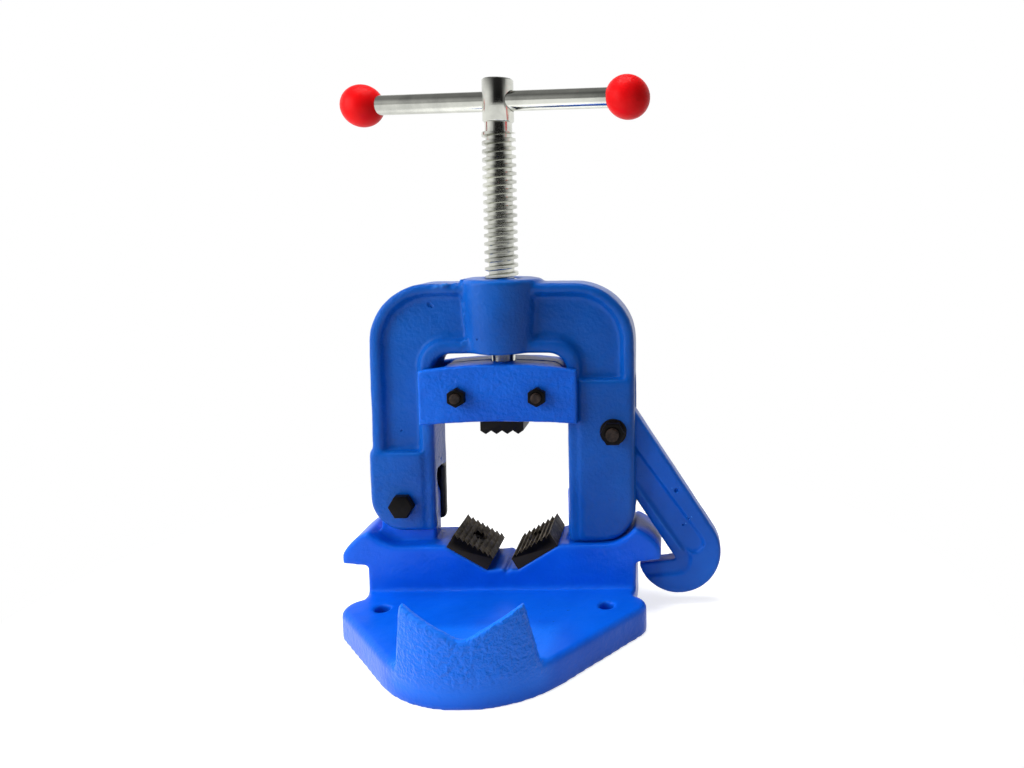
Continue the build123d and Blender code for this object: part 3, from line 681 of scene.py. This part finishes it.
def studded_copy(node, centres, radius, pitch, start_y):
    """Copy bolts that point to the front, with a thread on all that stands before start_y."""
    shape = blunt_copy(node, 0.2)
    tip_y = box_of(node)[0].y
    bmesh.ops.bisect_plane(shape, geom=shape.verts[:] + shape.edges[:] + shape.faces[:],
                           plane_co=(0, start_y, 0), plane_no=(0, -1, 0), clear_outer=True)
    for x, z in centres:
        stud = thread(-start_y, -tip_y, pitch, radius, radius - 0.6 * pitch, 16, (x, z))
        bmesh.ops.rotate(stud, verts=stud.verts, cent=(0, 0, 0), matrix=Matrix.Rotation(math.pi / 2, 3, "X"))
        shape = join_shapes(shape, stud)
    return shape


low, high = box_of("crosshead_nuts")
corner_r = (high.z - low.z) / 2 / math.cos(math.pi / 6)
nut_x, nut_z = high.x - corner_r, (low.z + high.z) / 2
nuts = blunt_copy("crosshead_nuts", 0.4)
for side in (-1, 1):
    near = [vert for vert in nuts.verts if vert.co.x * side > 0]
    bmesh.ops.rotate(nuts, verts=near, cent=(side * nut_x, 0, nut_z),
                     matrix=Matrix.Rotation(math.pi / 6, 3, "Y"))
place_piece(nuts, "crosshead_nuts_blunt", "crosshead_nuts", 25)
bolts = studded_copy("crosshead_bolts", ((-nut_x, nut_z), (nut_x, nut_z)), 3 * MM, MM, (low.y + high.y) / 2)
place_piece(bolts, "crosshead_studs", "crosshead_bolts", 30, stud_steel)

low, high = box_of("latch_nut")
pivot = ((low.x + high.x) / 2, (low.z + high.z) / 2)
latch_nut = blunt_copy("latch_nut", 0.5)
# Each point of the flange's outline: distance from the pivot's axis, and place along it from the rear
flange_outline = ((5.5, 0.0), (7.9, 0.0), (8.1, -0.3), (7.9, -0.7), (6.4, -1.1), (5.5, -1.1))
flange = bmesh.new()
ring = [flange.verts.new((pivot[0] + r * MM, high.y + y * MM, pivot[1])) for r, y in flange_outline]
edges = [flange.edges.new(pair) for pair in zip(ring, ring[1:] + ring[:1])]
bmesh.ops.spin(flange, geom=ring + edges, cent=(pivot[0], high.y, pivot[1]), axis=(0, 1, 0), dvec=(0, 0, 0),
               angle=2 * math.pi, space=Matrix(), steps=48, use_merge=True, use_normal_flip=False,
               use_duplicate=False)
bmesh.ops.remove_doubles(flange, verts=flange.verts, dist=0.005 * MM)
bmesh.ops.recalc_face_normals(flange, faces=flange.faces)
place_piece(join_shapes(latch_nut, flange), "latch_nut_flanged", "latch_nut", 30)
stud = studded_copy("latch_bolt", (pivot,), 4 * MM, 1.25 * MM, (low.y + high.y) / 2)
place_piece(stud, "latch_pivot_stud", "latch_bolt", 30, stud_steel)

# %% [markdown]
# The other fasteners need nothing but blunt edges. The head of the hinge bolt has the widest ones,
# because a forged head has a turned chamfer.

# %% Bolt head, rear nut, washers and screws
plain_fasteners = {"hinge_bolt": 0.8, "hinge_nut": 0.4, "hinge_washer": 0.2, "latch_washer": 0.2,
                   "lower_jaw_screws": 0.2}
for node, width in plain_fasteners.items():
    place_piece(blunt_copy(node, width), node + "_blunt", node, 25)

# %% [markdown]
# ## Studio
# The vise stands on a pale floor under soft lamps, as in a catalogue: a key from the left, a weaker fill
# from the front, a lamp overhead, and a white surround. The lamps don't show in the paint and the steel,
# since a lamp's mirror image would veil the deep blue, and the room gives the steel its streaks instead.

# %% Lamps and helpers for light


def lamp(name, place, target, width, power):
    """Add a square soft lamp that faces a point and doesn't show in glossy pieces."""
    data = bpy.data.lights.new(name, "AREA")
    data.size = width
    data.energy = power
    light = bpy.data.objects.new(name, data)
    bpy.context.scene.collection.objects.link(light)
    light.location = place
    light.rotation_euler = (Vector(target) - Vector(place)).to_track_quat("-Z", "Y").to_euler()
    light.visible_glossy = False


def seen_rays(tree):
    """Give 1 for what the camera or a glossy or clear piece sees, and again for the camera alone."""
    path = tree.nodes.new("ShaderNodeLightPath")
    found = path.outputs["Is Camera Ray"]
    for kind in ("Is Glossy Ray", "Is Transmission Ray"):
        larger = tree.nodes.new("ShaderNodeMath")
        larger.operation = "MAXIMUM"
        tree.links.new(found, larger.inputs[0])
        tree.links.new(path.outputs[kind], larger.inputs[1])
        found = larger.outputs["Value"]
    return found, path.outputs["Is Camera Ray"]


def mix_shaders(tree, amount, first, second):
    """Mix two shaders by an amount from 0 to 1."""
    node = tree.nodes.new("ShaderNodeMixShader")
    tree.links.new(amount, node.inputs["Fac"])
    tree.links.new(first, node.inputs[1])
    tree.links.new(second, node.inputs[2])
    return node.outputs["Shader"]


aim = (0, -0.02, 0.13)
lamp("key", (-0.54, -0.28, 0.34), aim, 0.5, 4.9)
lamp("fill", (0.45, -0.9, 0.3), aim, 0.9, 1.0)
lamp("top", (-0.05, 0.02, 0.9), (0, -0.08, 0), 0.5, 7)

# %% [markdown]
# The floor is one large sheet. Near the vise it is matt paper that takes the shadow, lifted a little so
# that it comes out near white. Farther out it fades to plain white, so no horizon shows behind the vise.
# What the paper throws back on the castings is its plain matt grey.

# %% White floor
floor_shape = bmesh.new()
bmesh.ops.create_grid(floor_shape, x_segments=1, y_segments=1, size=4)
floor_mesh = bpy.data.meshes.new("floor")
floor_shape.to_mesh(floor_mesh)
floor_shape.free()
floor = bpy.data.objects.new("floor", floor_mesh)
bpy.context.scene.collection.objects.link(floor)
floor_paper, tree, shader = new_material("floor_paper", (0.7, 0.7, 0.7, 1.0), 0.9, shine=0.0)
white = tree.nodes.new("ShaderNodeEmission")
lift = tree.nodes.new("ShaderNodeEmission")
lift.inputs["Strength"].default_value = 0.75
together = tree.nodes.new("ShaderNodeAddShader")
tree.links.new(shader.outputs["BSDF"], together.inputs[0])
tree.links.new(lift.outputs["Emission"], together.inputs[1])
total = tree.nodes.new("ShaderNodeMath")
total.operation = "ADD"
for place, value in zip(total.inputs, object_place(tree)[:2]):
    tree.links.new(multiply(tree, value, value), place)
near_r, far_r = 0.12, 0.3
spread = remap(tree, total.outputs["Value"], near_r ** 2, far_r ** 2)
found, _ = seen_rays(tree)
paper = mix_shaders(tree, spread, together.outputs["Shader"], white.outputs["Emission"])
surface = mix_shaders(tree, found, shader.outputs["BSDF"], paper)
tree.links.new(surface, tree.nodes["Material Output"].inputs["Surface"])
floor_mesh.materials.append(floor_paper)

# %% [markdown]
# The camera sees plain white all round. Polished pieces see a room that is white at the sides, dark
# behind the camera and dim overhead, and that gives them their dark streaks. What lights the vise from
# all round is weaker and even. The room's shade depends on the heading alone: the level part of the
# direction is compared with the darkest heading, a little to the right of the camera.

# %% White surround
world = bpy.data.worlds.new("surround")
bpy.context.scene.world = world
world.use_nodes = True
tree = world.node_tree
plain = tree.nodes["Background"]
plain.inputs["Color"].default_value = (1.0, 1.0, 1.0, 1.0)
plain.inputs["Strength"].default_value = 1.0
room = tree.nodes.new("ShaderNodeBackground")
where = tree.nodes.new("ShaderNodeTexCoord")
level = tree.nodes.new("ShaderNodeVectorMath")
level.operation = "MULTIPLY"
level.inputs[1].default_value = (1.0, 1.0, 0.0)
tree.links.new(where.outputs["Generated"], level.inputs[0])
heading = tree.nodes.new("ShaderNodeVectorMath")
heading.operation = "NORMALIZE"
tree.links.new(level.outputs["Vector"], heading.inputs[0])
darkest = math.radians(14)
facing = tree.nodes.new("ShaderNodeVectorMath")
facing.operation = "DOT_PRODUCT"
facing.inputs[1].default_value = (-math.sin(darkest), math.cos(darkest), 0.0)
tree.links.new(heading.outputs["Vector"], facing.inputs[0])
depth = remap(tree, facing.outputs["Value"], -1.0, 1.0)
shades = ((0.0, 0.01), (0.066, 0.02), (0.082, 0.06), (0.128, 0.21), (0.215, 0.5), (0.37, 0.9), (0.5, 1.0))
room_colour = ramp(tree, depth, *[(place, (grey, grey, grey, 1.0)) for place, grey in shades])
split = tree.nodes.new("ShaderNodeSeparateXYZ")
tree.links.new(where.outputs["Generated"], split.inputs["Vector"])
# The dim ceiling gives the bar its dark upper half
overhead = remap(tree, split.outputs["Z"], 0.35, 0.75)
room_colour = blend(tree, multiply(tree, overhead, 0.8), room_colour, (0.03, 0.03, 0.03, 1.0))
tree.links.new(room_colour, room.inputs["Color"])
lit = tree.nodes.new("ShaderNodeBackground")
lit.inputs["Color"].default_value = (1.0, 1.0, 1.0, 1.0)
lit.inputs["Strength"].default_value = 0.08
found, from_camera = seen_rays(tree)
inner = mix_shaders(tree, found, lit.outputs["Background"], room.outputs["Background"])
outer = mix_shaders(tree, from_camera, inner, plain.outputs["Background"])
tree.links.new(outer, tree.nodes["World Output"].inputs["Surface"])
bpy.context.scene.view_settings.view_transform = "Standard"

# %% [markdown]
# The camera's lens and place come from matching edges of the castings to the photograph. Its focal length
# is given in pixels of a picture 1024 wide, and the point straight ahead of it lies off the middle.

# %% Camera
view_width, view_height = 1024, 768
focal_px = 800
centre_px = (691.7, 294.4)
camera_data = bpy.data.cameras.new("photo_view")
camera_data.lens = focal_px * camera_data.sensor_width / view_width
camera_data.shift_x = (view_width / 2 - centre_px[0]) / view_width
camera_data.shift_y = (centre_px[1] - view_height / 2) / view_width
camera = bpy.data.objects.new("photo_view", camera_data)
bpy.context.scene.collection.objects.link(camera)
camera.location = (0.10336, -0.48797, 0.23477)
camera.rotation_euler = (math.radians(90 - 4.79), math.radians(0.17), math.radians(-1.42))
bpy.context.scene.camera = camera
